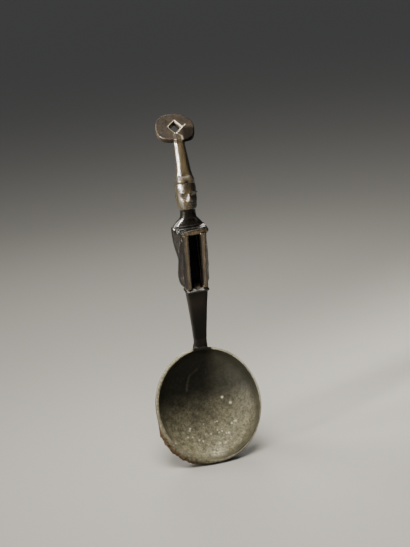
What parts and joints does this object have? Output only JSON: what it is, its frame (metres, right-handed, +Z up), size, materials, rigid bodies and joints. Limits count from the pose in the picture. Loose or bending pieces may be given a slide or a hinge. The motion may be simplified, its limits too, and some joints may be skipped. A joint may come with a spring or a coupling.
{
  "type": "ladle",
  "caption": "Carved hardwood ladle with an oval bowl; its handle is a seated figure with folded arms and a tall headdress ending in a pierced finial.",
  "frame": {"origin": "centre of the lozenge hanging hole in the finial", "axes": "+Z up along the handle, -Y the way the figure faces and the bowl opens, +X to the right seen from the front"},
  "size_m": [0.0914, 0.0641, 0.2886],
  "materials": {
    "bowl": "hand-carved hardwood, smoke-darkened, dull and dusty inside",
    "stem": "hand-carved hardwood, near black, glossy old patina",
    "figure": "hand-carved hardwood, dark glossy patina worn brown on the high places",
    "headdress": "hand-carved hardwood, faceted, dark glossy patina",
    "finial": "hand-carved hardwood, dark satin patina"
  },
  "bodies": {
    "root": {"bowl": "bowl", "stem": "stem", "plinth": "figure", "left_leg": "figure", "right_leg": "figure", "torso": "figure", "left_arm": "figure", "right_arm": "figure", "head": "figure", "headdress": "headdress", "finial": "finial"}
  },
  "joints": []
}
